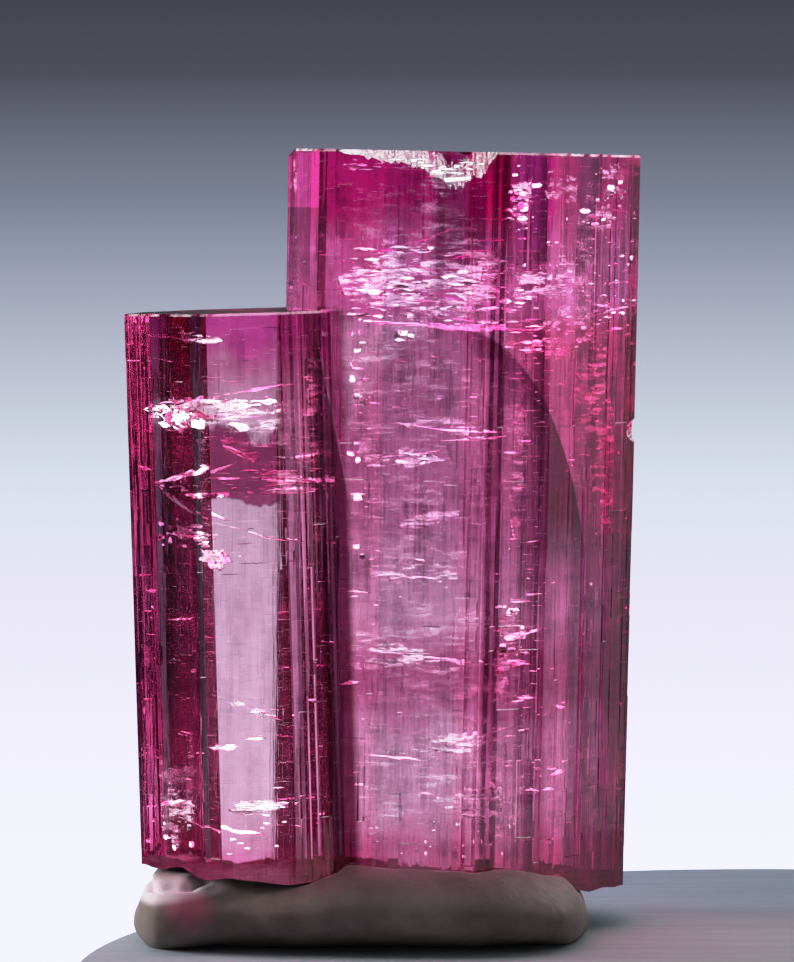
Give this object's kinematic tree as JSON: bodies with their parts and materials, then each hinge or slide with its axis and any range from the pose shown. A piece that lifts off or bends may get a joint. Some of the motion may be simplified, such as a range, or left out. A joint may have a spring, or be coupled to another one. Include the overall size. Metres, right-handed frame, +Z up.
{
  "type": "tourmaline crystal",
  "caption": "Flat-topped pink tourmaline prisms grown together side by side, standing in a pressed pad of grey display putty.",
  "frame": {"origin": "on the flat underside of the putty pad, under the middle of the pair of crystals", "axes": "+Z up along the prisms, -Y towards the front that shows both crystals, +X from the short crystal to the tall one"},
  "size_m": [0.0312, 0.023, 0.0476],
  "materials": {
    "pink_tourmaline": "polished",
    "grey_putty": "matte"
  },
  "bodies": {
    "root": {"tourmaline_crystals": "pink_tourmaline", "putty_pad": "grey_putty"}
  },
  "joints": []
}
